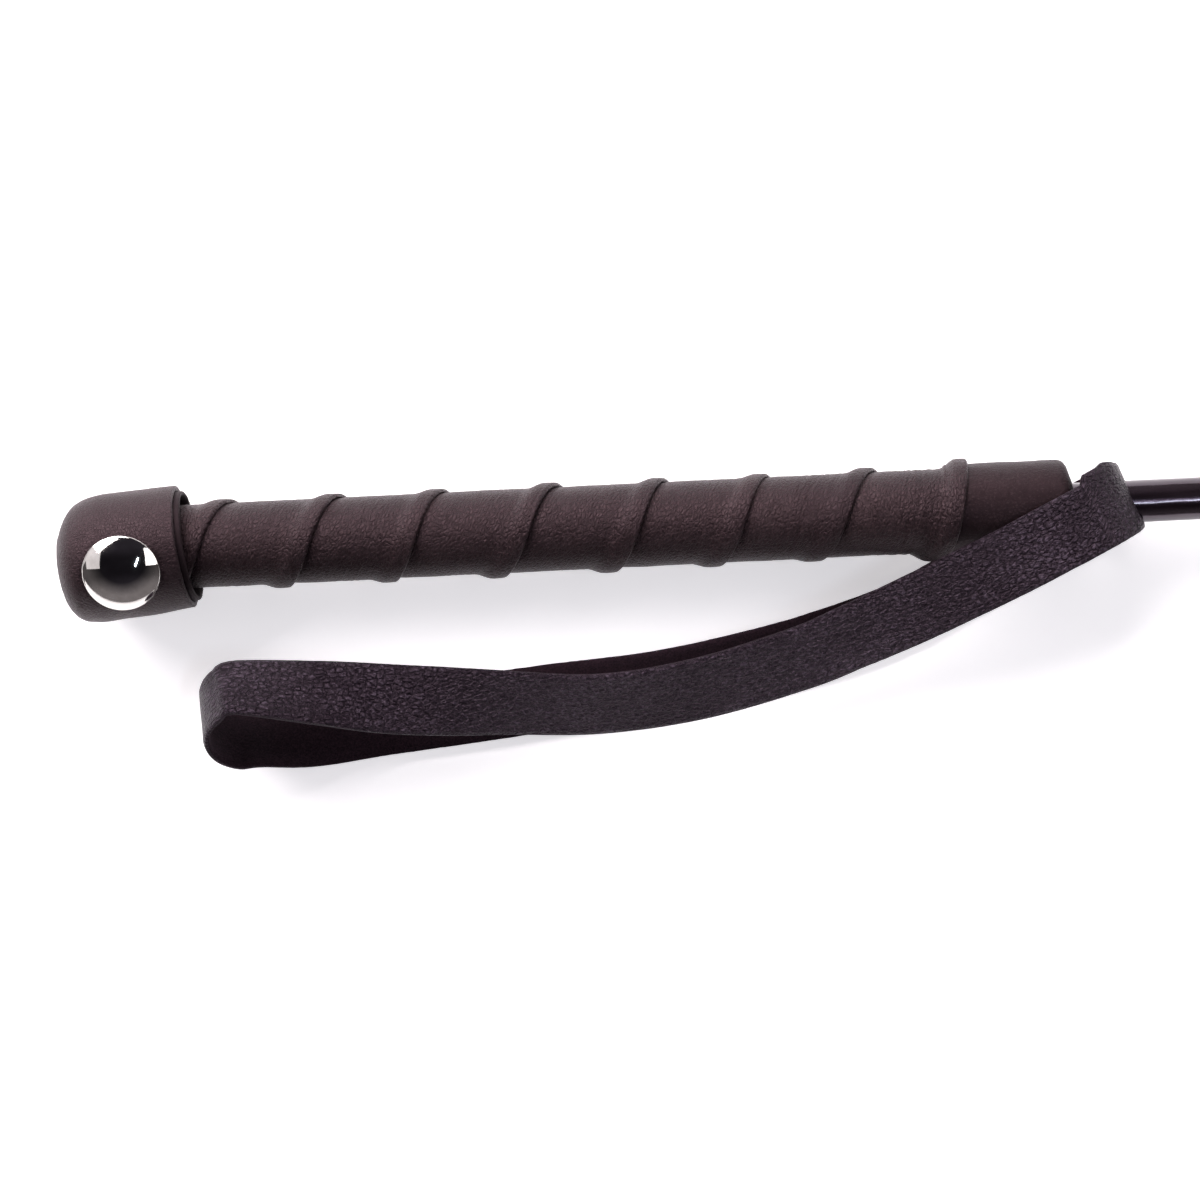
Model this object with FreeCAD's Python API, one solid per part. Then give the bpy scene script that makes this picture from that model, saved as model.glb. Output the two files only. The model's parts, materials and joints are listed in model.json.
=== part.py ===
import FreeCAD, Part
import math
import os

# A riding crop lying on a table: a leather-wrapped handle with a capped butt, a tapered
# shaft, a leather wrist loop threaded on the shaft and a folded leather keeper at the tip.
# Millimetres.  While it is modelled, x runs along the shaft from the middle of the grip
# towards the tip, y runs across the table and z is up.  Pieces on the shaft are drawn
# about the x axis and then laid on the table by on_table().  Each sub-part is written
# with the origin under the middle of the whole crop, on the table.

Vector = FreeCAD.Vector

# ---- driving dimensions --------------------------------------------------------------
butt_x = -108.0          # outer face of the butt cap
tip_x = 542.0            # fold of the keeper; the crop is 650 long over all
handle_front_x = 92.3    # front face of the front collar
row_centre_x = 0.5 * (butt_x + tip_x)
row_centre_y = -16.71    # middle of the crop's width, between the loop and the cap

seat = 0.01              # clearance between glued or pressed pieces
# how the crop lies: axis height over the table at x = 0 and its fall per millimetre
axis_height = 11.88
axis_fall = 0.0095

# shaft
rod_radius = 3.4
rod_tip_radius = 1.5
rod_start_x = -40.0
sleeve_radius = 4.25
sleeve_tip_radius = 2.1
sleeve_start_x = 70.0
parallel_end_x = 150.0   # the shaft is parallel up to here, and tapers from here on
shaft_end_x = 488.0

# handle, from the inside out
handle_rear_x = -88.3
core_radius = 6.2
underlay_radius = 7.1
wrap_radius = 8.3        # outside of the leather strip between its laps
lap_radius = 9.4         # outside of the strip where it lies over the next turn
wrap_gap = 0.06          # between a lap and the turn under it
wrap_turns = 9           # drawn; the ends are cut off at the cap and the collar
wrap_pitch = 21.16
lap_width = 4.5
lap_phase_x = -51.1      # a lap edge meets the +y side of the handle here
tenon_radius = 3.6
tenon_length = 11.0

# front collar
collar_rear_x = 73.4
collar_radius = 9.15
collar_lip = 1.4         # thickness turned in over the handle's front end
collar_corner = 3.6
bead_radius = 10.05
bead_width = 5.2

# butt cap: a leather cup that sits a little askew on the handle
cap_mouth_x = -82.1
cap_skew = 6.0
cap_length = 25.8
cap_leather = 1.3
lining_leather = 0.8
lining_edge = 1.1        # how far the lining stands out of the mouth
knob_start = 8.2         # from the mouth of the cap to the face of the knob
cap_radius = 12.75
cap_outline = [(0.0, 12.1), (7.0, 12.6), (14.0, cap_radius), (20.0, 12.05),
               (24.0, 9.6), (25.5, 5.0), (cap_length, 0.0)]

# rivet on the cap
rivet_from_mouth = 11.2
rivet_lean = 18.0        # from straight up, about the cap's axis, towards -y
rivet_radius = 7.5
rivet_base = 12.3        # height of the dome's rim over the cap's axis
rivet_rise = 2.7
rivet_sheet = 0.5
post_radius = 1.8
post_length = 11.0

# wrist loop
strap_width = 13.8
strap_leather = 1.3
strap_hole_radius = 4.6
strap_hole_x = (95.3, 117.5)   # the hole is bored along the shaft's axis between these
fold_point = (105.5, 1.35)
fold_angle = 25.3        # the strap leaves the fold at this angle to the shaft
fold_skew = 21.5         # while its two holed ends stand at this angle

# tip
whipping_x = (466.0, 486.0)
thread_radius = 0.45
keeper_leather = 1.6
keeper_width = 20.0
keeper_neck = 14.4       # width at the bend
keeper_root_x = 462.0
keeper_bend_x = 495.0
keeper_droop = 6.85      # degrees below the shaft's line
keeper_gap = 0.4         # open stretch between the bound ends and the tongue
stitch_count = 6
stitch_row = 12.0        # from the bend to the row of stitches
stitch_span = 15.6       # length of the row across the keeper


# ---- helpers -------------------------------------------------------------------------
def face_of(points):
    """Flat face with straight sides."""
    vectors = [Vector(*p) for p in points]
    return Part.Face(Part.makePolygon(vectors + [vectors[0]]))


def lathe(outline):
    """Solid turned about the x axis from (x, radius) points."""
    face = face_of([(x, 0.0, r) for x, r in outline])
    return face.revolve(Vector(0, 0, 0), Vector(1, 0, 0), 360)


def rod(x0, x1, r0, r1=None):
    """Round or tapered bar about the x axis."""
    if r1 is None or abs(r1 - r0) < 1e-9:
        return Part.makeCylinder(r0, x1 - x0, Vector(x0, 0, 0), Vector(1, 0, 0))
    return Part.makeCone(r0, r1, x1 - x0, Vector(x0, 0, 0), Vector(1, 0, 0))


def block(x0, x1, y0, y1, z0, z1):
    return Part.makeBox(x1 - x0, y1 - y0, z1 - z0, Vector(x0, y0, z0))


def axis_z(x):
    """Height of the shaft's axis over the table."""
    return axis_height - axis_fall * x


def on_table(shape):
    """Lay a piece that was drawn about the x axis on the table."""
    laid = shape.copy()
    laid.rotate(Vector(0, 0, 0), Vector(0, 1, 0), math.degrees(math.atan(axis_fall)))
    laid.translate(Vector(0, 0, axis_height))
    return laid


def skewed(shape):
    """Put a piece drawn from the cap's mouth, with the closed end on -x, on the handle."""
    turned = shape.copy()
    turned.rotate(Vector(0, 0, 0), Vector(0, 0, 1), cap_skew)
    turned.translate(Vector(cap_mouth_x, 0, 0))
    return turned


def write(name, shape):
    placed = shape.copy()
    placed.translate(Vector(-row_centre_x, -row_centre_y, 0))
    placed.exportStep("parts/" + name + ".step")
    box = placed.BoundBox
    state = "valid" if placed.isValid() else "NOT VALID"
    print("%-16s %d solid %s %9.1f mm3  x %.1f..%.1f  y %.2f..%.2f  z %.2f..%.2f" % (
        name, len(placed.Solids), state, placed.Volume,
        box.XMin, box.XMax, box.YMin, box.YMax, box.ZMin, box.ZMax))


# ---- shaft ---------------------------------------------------------------------------
def shaft_core():
    """Tapered rod, glued into the handle core."""
    parallel = rod(rod_start_x, parallel_end_x, rod_radius)
    taper = rod(parallel_end_x, shaft_end_x, rod_radius, rod_tip_radius)
    return parallel.fuse(taper).removeSplitter()


def shaft_sleeve():
    """Smooth cover over the rod, from inside the handle to the tip."""
    parallel = rod(sleeve_start_x, parallel_end_x, sleeve_radius)
    taper = rod(parallel_end_x, shaft_end_x, sleeve_radius, sleeve_tip_radius)
    return parallel.fuse(taper).cut(shaft_core())


# ---- handle --------------------------------------------------------------------------
def handle_core():
    """Turned wood with a stepped bore for the shaft and a tenon for the butt knob."""
    front_x = handle_front_x - collar_lip
    body = rod(handle_rear_x, front_x, core_radius)
    tenon = rod(handle_rear_x - tenon_length, handle_rear_x, tenon_radius)
    bore = rod(rod_start_x, front_x, rod_radius)
    counterbore = rod(sleeve_start_x, front_x, sleeve_radius)
    return body.fuse(tenon).cut(bore).cut(counterbore)


def handle_underlay():
    """Thin padding sleeve under the leather."""
    front_x = handle_front_x - collar_lip
    outer = rod(handle_rear_x, front_x, underlay_radius)
    return outer.cut(rod(handle_rear_x, front_x, core_radius))


def grip_wrap():
    """One leather strip wound left-handed; each turn's front edge laps the next turn."""
    inside = underlay_radius + seat
    full_width = wrap_pitch + lap_width
    under_lap = wrap_radius + wrap_gap
    section = [(0.0, inside), (wrap_pitch - 1.9, inside), (wrap_pitch - 0.2, under_lap),
               (full_width, under_lap), (full_width, lap_radius - 0.15),
               (full_width - 0.5, lap_radius), (wrap_pitch + 0.6, lap_radius),
               (wrap_pitch - 3.6, wrap_radius), (0.0, wrap_radius)]
    profile = face_of([(r, 0.0, a) for a, r in section]).OuterWire
    spine = Part.makeHelix(wrap_pitch, wrap_turns * wrap_pitch, wrap_radius, 0.0, True)
    strip = Part.Wire(spine.Edges).makePipeShell([profile], True, True)
    strip.rotate(Vector(0, 0, 0), Vector(0, 1, 0), 90)
    start_x = lap_phase_x - full_width - 0.75 * wrap_pitch - wrap_pitch
    strip.translate(Vector(start_x, 0, 0))
    reach = 2.0 * lap_radius
    front_x = collar_rear_x - 2.0 * seat
    keep = block(handle_rear_x, front_x, -reach, reach, -reach, reach)
    return strip.common(keep)


def front_collar():
    """Smooth leather band, turned in at the handle's front end, with a raised rear bead."""
    inside = underlay_radius + seat
    bore = sleeve_radius + seat
    outside = collar_radius - 0.1
    bead_inside = lap_radius + 0.04
    x_rear = collar_rear_x - bead_width
    outline = [(x_rear, bead_inside), (x_rear + 0.4, bead_radius - 0.3),
               (x_rear + 1.4, bead_radius), (collar_rear_x - 0.6, bead_radius),
               (collar_rear_x, bead_radius - 0.25), (collar_rear_x + 0.3, outside),
               (handle_front_x, outside), (handle_front_x, bore),
               (handle_front_x - collar_lip, bore),
               (handle_front_x - collar_lip, inside), (collar_rear_x, inside),
               (collar_rear_x, bead_inside)]
    band = lathe(outline)
    front = [e for e in band.Edges
             if abs(e.BoundBox.XMin - handle_front_x) < 1e-4
             and abs(e.BoundBox.XMax - handle_front_x) < 1e-4
             and e.BoundBox.ZMax > collar_radius - 0.5]
    return band.makeFillet(collar_corner, front)


# ---- butt ----------------------------------------------------------------------------
def cup_solid(inset):
    """The cap's outer form, filled, shrunk by the inset; mouth at x = 0, end on -x."""
    across = 1.0 - inset / cap_radius
    along = 1.0 - inset / cap_length
    points = [Vector(-t * along, 0, r * across) for t, r in cap_outline]
    curve = Part.BSplineCurve()
    curve.interpolate(points)
    mouth = Part.LineSegment(Vector(0, 0, 0), points[0])
    spine = Part.LineSegment(points[-1], Vector(0, 0, 0))
    edges = [mouth.toShape(), curve.toShape(), spine.toShape()]
    return Part.Face(Part.Wire(edges)).revolve(Vector(0, 0, 0), Vector(1, 0, 0), 360)


def rivet_frame(shape):
    """Stand a piece drawn along +z, from the cap's axis, in the rivet's place."""
    leaned = shape.copy()
    leaned.rotate(Vector(0, 0, 0), Vector(1, 0, 0), rivet_lean)
    leaned.translate(Vector(-rivet_from_mouth, 0, 0))
    return leaned


def dome(radius, rise, base):
    """Filled spherical cap on a disc."""
    ball_radius = (radius ** 2 + rise ** 2) / (2.0 * rise)
    ball = Part.makeSphere(ball_radius, Vector(0, 0, base + rise - ball_radius))
    disc = Part.makeCylinder(radius + 1.0, rise + 1.0, Vector(0, 0, base))
    return ball.common(disc)


def post_solid():
    top = rivet_base + 1.5
    foot = Vector(0, 0, top - post_length)
    return rivet_frame(Part.makeCylinder(post_radius, post_length, foot))


def rivet_cap():
    """Domed nickel cap, hollow, with its rim turned in."""
    outer = dome(rivet_radius, rivet_rise, rivet_base)
    rim = Part.makeCylinder(rivet_radius, 0.6, Vector(0, 0, rivet_base - 0.6))
    hollow_radius = rivet_radius - rivet_sheet
    inner = dome(hollow_radius, rivet_rise - rivet_sheet, rivet_base)
    mouth = Part.makeCylinder(hollow_radius, 1.0, Vector(0, 0, rivet_base - 0.9))
    shell = outer.fuse(rim).cut(inner.fuse(mouth))
    return rivet_frame(shell).cut(cup_solid(0.0))


def rivet_post():
    """Shank driven through the leather into the knob."""
    return post_solid()


def butt_cap():
    return cup_solid(0.0).cut(cup_solid(cap_leather)).cut(post_solid())


def butt_lining():
    """Second layer of leather inside the cap; its edge stands out of the cap's mouth."""
    inset = cap_leather + lining_leather
    layer = cup_solid(cap_leather).cut(cup_solid(inset)).cut(post_solid())
    mouth_radius = cap_outline[0][1]
    ring_outer = mouth_radius * (1.0 - cap_leather / cap_radius)
    ring_inner = mouth_radius * (1.0 - inset / cap_radius)
    ring = rod(0.0, lining_edge, ring_outer).cut(rod(0.0, lining_edge, ring_inner))
    return layer.fuse(ring)


def butt_knob():
    """Solid knob inside the cap, bored for the handle core's tenon."""
    filled = cup_solid(cap_leather + lining_leather).cut(post_solid())
    reach = cap_radius
    return filled.common(block(-cap_length, -knob_start, -reach, reach, -reach, reach))


# ---- wrist loop ----------------------------------------------------------------------
# Stations along the strap's middle line: x, y, height over the table, the direction in
# which the strap runs in plan, and the tilt of its width (positive lifts the edge on +y).
# The strip starts outside the fold, runs over the handle to the far roll and comes back
# on the table under the handle to end inside the fold.
upper_run = [
    (79.6, -11.0, 19.8, 25, 5), (69.3, -15.6, 17.7, 24, 7), (59.1, -20.1, 14.6, 22, 11),
    (48.9, -24.2, 12.2, 20, 18), (38.7, -28.0, 10.6, 16, 22), (18.4, -33.1, 9.6, 10, 26),
    (-1.7, -35.2, 9.8, 2, 29), (-21.7, -33.9, 11.4, -4, 20), (-41.4, -32.2, 14.2, -6, -5),
    (-57.0, -30.0, 16.9, -2, -28)]
lower_run = [
    (-59.0, -38.6, 2.9, -4, -17), (-46.0, -37.1, 1.0, -6, -2), (-30.0, -35.6, 1.05, -5, 2),
    (-12.0, -33.8, 2.25, -2, 11), (8.5, -31.8, 3.75, 5, 23), (26.0, -29.0, 3.9, 12, 24),
    (42.0, -25.8, 3.2, 18, 17), (59.0, -21.0, 1.5, 23, 5), (72.0, -15.1, 0.8, 25, 0),
    (86.0, -8.1, 0.75, 25.3, 0)]
# profile of the two ends at the fold: distance behind the fold point, height, and shift
# to +y; the inner end folds over on top and shows a little beside the outer one
outer_end = [(1.5, 3.6, 0.0), (0.7, 7.0, 0.0), (0.65, 11.0, 0.0), (1.3, 14.6, 0.0),
             (3.6, 18.2, 0.0), (8.0, 20.6, 0.0), (14.5, 21.6, 0.0), (21.0, 21.4, 0.0)]
inner_end = [(11.5, 0.75, 0.0), (6.6, 1.1, 0.0), (3.6, 3.2, 0.0), (2.2, 6.8, 0.0),
             (2.15, 11.0, 0.1), (2.7, 14.0, 0.5), (4.3, 16.8, 1.1), (7.8, 18.8, 1.6)]
roll_centre = (-71.6, -33.8, 11.9)
roll_radius = 8.5
roll_heading = 12.0
roll_tilt = -43.0
roll_steps = 6
span_steps = 3           # sections of the strap per span between stations


def fold_station(behind, height, shift):
    angle = math.radians(fold_angle)
    x = fold_point[0] - behind * math.cos(angle) - shift * math.sin(angle)
    y = fold_point[1] - behind * math.sin(angle) + shift * math.cos(angle)
    share = min(behind / 12.0, 1.0)
    heading = fold_skew + share * (fold_angle - fold_skew)
    return (x, y, height, heading, 0.0)


def roll_station(turn):
    """Station on the far roll; turn runs from 0 above to 180 degrees below."""
    heading = math.radians(roll_heading)
    tilt = math.radians(roll_tilt)
    rise = roll_radius * math.cos(math.radians(turn))
    reach = roll_radius * math.sin(math.radians(turn))
    aside = rise * math.sin(tilt)
    x = roll_centre[0] - reach * math.cos(heading) + aside * math.sin(heading)
    y = roll_centre[1] - reach * math.sin(heading) - aside * math.cos(heading)
    z = roll_centre[2] + rise * math.cos(tilt)
    return (x, y, z, roll_heading, roll_tilt)


def strap_stations():
    stations = [fold_station(*place) for place in outer_end]
    stations += upper_run
    stations += [roll_station(180.0 * k / roll_steps) for k in range(roll_steps + 1)]
    stations += lower_run
    stations += [fold_station(*place) for place in inner_end]
    return stations


def between(a, b, c, d, t):
    """Catmull-Rom value between b and c."""
    return 0.5 * (2 * b + (c - a) * t + (2 * a - 5 * b + 4 * c - d) * t * t
                  + (3 * b - a - 3 * c + d) * t ** 3)


def strap_points():
    """Finer stations along the strap, by a smooth curve through the given ones."""
    given = strap_stations()
    fine = []
    for k in range(len(given) - 1):
        four = [given[max(k - 1, 0)], given[k], given[k + 1], given[min(k + 2, len(given) - 1)]]
        for step in range(span_steps):
            t = step / span_steps
            fine.append([between(*[s[i] for s in four], t) for i in range(5)])
    fine.append(list(given[-1]))
    return fine


def strap_corners(station, tangent):
    """Four corners of the strap's cross-section, square to its run."""
    x, y, z, heading, tilt = station
    heading = math.radians(heading)
    tilt = math.radians(tilt)
    across = Vector(-math.sin(heading) * math.cos(tilt),
                    math.cos(heading) * math.cos(tilt), math.sin(tilt))
    across = across - tangent * across.dot(tangent)
    across.normalize()
    normal = tangent.cross(across)
    middle = Vector(x, y, z)
    half = across * (0.5 * strap_width)
    thick = normal * (0.5 * strap_leather)
    return [middle + half + thick, middle - half + thick,
            middle - half - thick, middle + half - thick]


def skinned(rings):
    """Closed solid over a row of four-cornered rings, in flat triangles."""
    faces = [face_of(rings[0]), face_of(rings[-1])]
    for a, b in zip(rings, rings[1:]):
        for i in range(4):
            j = (i + 1) % 4
            faces.append(face_of([a[i], a[j], b[j]]))
            faces.append(face_of([a[i], b[j], b[i]]))
    shell = Part.makeShell(faces)
    shell.sewShape()
    solid = Part.Solid(shell)
    if solid.Volume < 0:
        solid.reverse()
    return solid


def wrist_loop():
    """The strap, with one round hole through both of its ends for the shaft."""
    stations = strap_points()
    places = [Vector(*station[:3]) for station in stations]
    rings = []
    for k, station in enumerate(stations):
        ahead = places[min(k + 1, len(places) - 1)]
        behind = places[max(k - 1, 0)]
        tangent = ahead - behind
        tangent.normalize()
        rings.append(strap_corners(station, tangent))
    hole = rod(*strap_hole_x, strap_hole_radius)
    return skinned(rings).cut(on_table(hole))


# ---- tip -----------------------------------------------------------------------------
def sleeve_radius_at(x):
    share = (x - parallel_end_x) / (shaft_end_x - parallel_end_x)
    return sleeve_radius + share * (sleeve_tip_radius - sleeve_radius)


def keeper_root():
    """The keeper's two bound ends, one above and one below the shaft, and their throat."""
    x_bound = whipping_x[1]
    inner = sleeve_radius_at(keeper_root_x) + seat
    outer = inner + keeper_leather
    shells = rod(keeper_root_x, x_bound, outer)
    slots = block(keeper_root_x, x_bound, -outer - 1, outer + 1, -0.4, 0.4)
    deep = 2.0 * outer
    mouth = [(x_bound, -outer, -outer), (x_bound, outer, -outer),
             (x_bound, outer, outer), (x_bound, -outer, outer)]
    far_x = keeper_bend_x - keeper_leather - keeper_gap
    half_y = 0.5 * keeper_neck
    half_z = keeper_leather
    lips = [(far_x, -half_y, -half_z), (far_x, half_y, -half_z),
            (far_x, half_y, half_z), (far_x, -half_y, half_z)]
    throat = Part.makeLoft([face_of(mouth).OuterWire, face_of(lips).OuterWire], True, True)
    throat = throat.common(rod(x_bound - 1.0, far_x + 1.0, deep))
    bore = rod(keeper_root_x - 1.0, shaft_end_x, inner)
    return shells.cut(slots).fuse(throat).cut(bore)


def tip_whipping():
    """Thread bound in close turns round the keeper's ends."""
    start, end = whipping_x
    base = sleeve_radius_at(keeper_root_x) + keeper_leather + 0.02
    turns = int(round((end - start) / (2.0 * thread_radius)))
    step = (end - start) / turns
    outline = [(start, base)]
    for k in range(turns):
        x = start + k * step
        outline += [(x + 0.02, base + 0.35), (x + 0.5 * step, base + 2.0 * thread_radius),
                    (x + step - 0.02, base + 0.35)]
    outline.append((end, base))
    return lathe(outline)


def tongue_frame(shape):
    """Hang a piece drawn from the bend, along +x, at the keeper's droop."""
    hung = shape.copy()
    hung.rotate(Vector(0, 0, 0), Vector(0, 1, 0), keeper_droop)
    hung.translate(Vector(keeper_bend_x, 0, axis_z(keeper_bend_x)))
    return hung


def keeper_tongue():
    """The doubled leather tongue: narrow at the bend, full width beyond, rounded fold."""
    length = (tip_x - keeper_bend_x) / math.cos(math.radians(keeper_droop))
    near_y = 0.5 * keeper_neck
    far_y = 0.5 * keeper_width
    thick = 2.0 * keeper_leather
    outline = [(0.0, -near_y), (8.0, -far_y), (length, -far_y),
               (length, far_y), (8.0, far_y), (0.0, near_y)]
    plate = face_of([(x, y, -0.5 * thick) for x, y in outline]).extrude(Vector(0, 0, thick))
    fold = [e for e in plate.Edges
            if abs(e.BoundBox.XMin - length) < 1e-4 and e.Length > keeper_width - 1.0]
    nose = Part.makeCylinder(0.5 * thick, 2.0 * near_y, Vector(0, -near_y, 0), Vector(0, 1, 0))
    return tongue_frame(plate.makeFillet(0.48 * thick, fold).fuse(nose))


def keeper_stitches():
    """A row of stitches across the tongue, seen on both faces."""
    thick = 2.0 * keeper_leather
    spacing = stitch_span / stitch_count
    stitches = []
    for k in range(stitch_count):
        y = (k - 0.5 * (stitch_count - 1)) * spacing
        for side in (-1, 1):
            z = side * (0.5 * thick + thread_radius + 0.02)
            start = Vector(stitch_row, y - 0.38 * spacing, z)
            stitch = Part.makeCylinder(thread_radius, 0.76 * spacing, start, Vector(0, 1, 0))
            stitches.append(stitch)
    return tongue_frame(Part.makeCompound(stitches))


# ---- the crop ------------------------------------------------------------------------
def main():
    os.makedirs("parts", exist_ok=True)
    for maker in (shaft_core, shaft_sleeve, handle_core, handle_underlay, grip_wrap,
                  front_collar, tip_whipping, keeper_root):
        write(maker.__name__, on_table(maker()))
    tenon = rod(handle_rear_x - tenon_length, handle_rear_x, tenon_radius)
    for maker in (butt_cap, butt_lining, butt_knob, rivet_cap, rivet_post):
        piece = skewed(maker())
        if maker is not rivet_cap:
            piece = piece.cut(tenon)
        write(maker.__name__, on_table(piece))
    for maker in (wrist_loop, keeper_tongue, keeper_stitches):
        write(maker.__name__, maker())


main()
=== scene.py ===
import json
import math

import bmesh
import bpy
import numpy as np
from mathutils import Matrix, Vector, noise


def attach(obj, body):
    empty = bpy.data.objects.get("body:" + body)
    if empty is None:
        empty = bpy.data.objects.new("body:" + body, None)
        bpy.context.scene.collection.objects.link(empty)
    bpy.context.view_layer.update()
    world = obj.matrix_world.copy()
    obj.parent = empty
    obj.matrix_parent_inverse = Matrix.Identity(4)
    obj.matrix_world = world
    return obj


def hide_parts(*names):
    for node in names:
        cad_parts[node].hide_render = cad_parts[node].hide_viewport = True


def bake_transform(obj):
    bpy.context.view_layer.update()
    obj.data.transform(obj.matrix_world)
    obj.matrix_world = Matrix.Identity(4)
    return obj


# The riding crop's looks.  Pieces are drawn in millimetres in the crop's own frame, as the
# CAD source has them: x along the shaft from the middle of the grip towards the tip, y
# across, z up from the table.  placed() turns that into metres in the row's frame.

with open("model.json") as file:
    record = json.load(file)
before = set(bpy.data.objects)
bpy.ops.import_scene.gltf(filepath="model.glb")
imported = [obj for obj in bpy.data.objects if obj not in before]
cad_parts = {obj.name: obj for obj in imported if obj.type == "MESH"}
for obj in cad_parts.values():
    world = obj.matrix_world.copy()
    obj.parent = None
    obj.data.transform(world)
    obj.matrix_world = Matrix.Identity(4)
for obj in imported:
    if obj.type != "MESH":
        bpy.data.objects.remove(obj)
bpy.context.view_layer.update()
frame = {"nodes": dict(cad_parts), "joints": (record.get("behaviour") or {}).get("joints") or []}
joints = {joint["name"]: joint for joint in frame["joints"]}

# A mesh's flow attribute holds a place in millimetres along and across its leather or
# thread; its third part tells the grain side, a cut edge and the suede side apart.
GRAIN, CUT_EDGE, SUEDE = 0.0, 0.5, 1.0

# ---- where the crop lies ----
MM = 0.001
BEND_X = 495.0                      # keeper_flex turns here
TURN_X = 105.0                      # loop_turn's point on the shaft
bend_at = joints["keeper_flex"]["pos_m"]
turn_at = joints["loop_turn"]["pos_m"]
turn_axis = joints["loop_turn"]["axis"]
ROW_X = bend_at[0] / MM - BEND_X
ROW_Y = bend_at[1] / MM
AXIS_FALL = -turn_axis[2] / turn_axis[0]
AXIS_HEIGHT = turn_at[2] / MM + AXIS_FALL * TURN_X


def axis_z(x):
    return AXIS_HEIGHT - AXIS_FALL * x


def placed(points):
    """Millimetres in the crop's frame to metres in the row's frame."""
    points = np.asarray(points, dtype=float)
    return (points + np.array([ROW_X, ROW_Y, 0.0])) * MM


def turned_about(points, axis, degrees):
    """Points turned about a coordinate axis through the origin."""
    a = math.radians(degrees)
    c, s = math.cos(a), math.sin(a)
    x, y, z = np.moveaxis(np.asarray(points, dtype=float), -1, 0)
    if axis == "X":
        x, y, z = x, y * c - z * s, y * s + z * c
    elif axis == "Y":
        x, y, z = x * c + z * s, y, -x * s + z * c
    else:
        x, y, z = x * c - y * s, x * s + y * c, z
    return np.stack([x, y, z], axis=-1)


def laid(points):
    """Lay points drawn about the x axis along the shaft's line over the table."""
    return turned_about(points, "Y", math.degrees(math.atan(AXIS_FALL))) + [0, 0, AXIS_HEIGHT]


def around(x, radius, angle):
    """Point round the shaft: angle from the +y side, upwards."""
    return np.stack([x, radius * np.cos(angle), radius * np.sin(angle)], axis=-1)


# ---- meshes ----
def grid_faces(rows, cols, round_rows=False, round_cols=False):
    """Quads between rows of points, closed into a ring either way where asked."""
    faces = []
    for i in range(rows if round_rows else rows - 1):
        for j in range(cols if round_cols else cols - 1):
            a, b = i * cols + j, i * cols + (j + 1) % cols
            k = (i + 1) % rows
            faces.append((a, b, k * cols + (j + 1) % cols, k * cols + j))
    return faces


def tube_faces(rows, cols):
    """Quads of a tube of rings, with one face over each end."""
    ends = [tuple(range(cols)), tuple(range((rows - 1) * cols, rows * cols))]
    return grid_faces(rows, cols, False, True) + ends


def strip_faces(rows, count):
    """Faces of a closed strip: count points on each face, two on each rounded edge."""
    cols = 2 * (count + 2)
    faces = grid_faces(rows, cols, False, True)
    for start in (0, (rows - 1) * cols):
        for j in range(count - 1):
            low, high = start + j, start + count + 2 + (count - 1 - j)
            faces.append((low, low + 1, high - 1, high))
        right, left = start + count, start + 2 * count + 2
        faces.append((right - 1, right, right + 1, right + 2))
        faces.append((left - 1, left, left + 1, start))
    return faces


def piece(name, points, faces, material, body, nodes=(), flow=None):
    """Smooth mesh object from points in the crop's frame, in place of the CAD nodes."""
    mesh = bpy.data.meshes.new(name)
    mesh.from_pydata([tuple(p) for p in placed(points)], [], faces)
    if flow is not None:
        data = mesh.attributes.new("flow", "FLOAT_VECTOR", "POINT").data
        data.foreach_set("vector", np.asarray(flow, dtype=np.float32).ravel())
    bm = bmesh.new()
    bm.from_mesh(mesh)
    bmesh.ops.recalc_face_normals(bm, faces=bm.faces)
    bm.to_mesh(mesh)
    bm.free()
    mesh.shade_smooth()
    mesh.materials.append(material)
    made = bpy.data.objects.new(name, mesh)
    bpy.context.scene.collection.objects.link(made)
    if body:
        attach(made, body)
    if nodes:
        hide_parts(*nodes)
    return made


def wave(x, y=0.0, z=0.0):
    """Smooth noise from -1 to 1, the same for the same place."""
    return noise.noise(Vector((x, y, z)))


def smooth(a, b, x):
    """From 0 at a to 1 at b, level at both."""
    t = np.clip((np.asarray(x, dtype=float) - a) / (b - a), 0.0, 1.0)
    return t * t * (3.0 - 2.0 * t)


def curve_through(knots, values):
    """Smooth function through the given values, its slopes taken from their neighbours."""
    knots = np.asarray(knots, dtype=float)
    values = np.asarray(values, dtype=float)
    slopes = np.gradient(values, knots)

    def at(x):
        x = np.asarray(x, dtype=float)
        k = np.clip(np.searchsorted(knots, x) - 1, 0, len(knots) - 2)
        h = knots[k + 1] - knots[k]
        t = (x - knots[k]) / h
        return ((1 + 2 * t) * (1 - t) ** 2 * values[k] + t * (1 - t) ** 2 * h * slopes[k]
                + t * t * (3 - 2 * t) * values[k + 1] + t * t * (t - 1) * h * slopes[k + 1])
    return at


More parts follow.
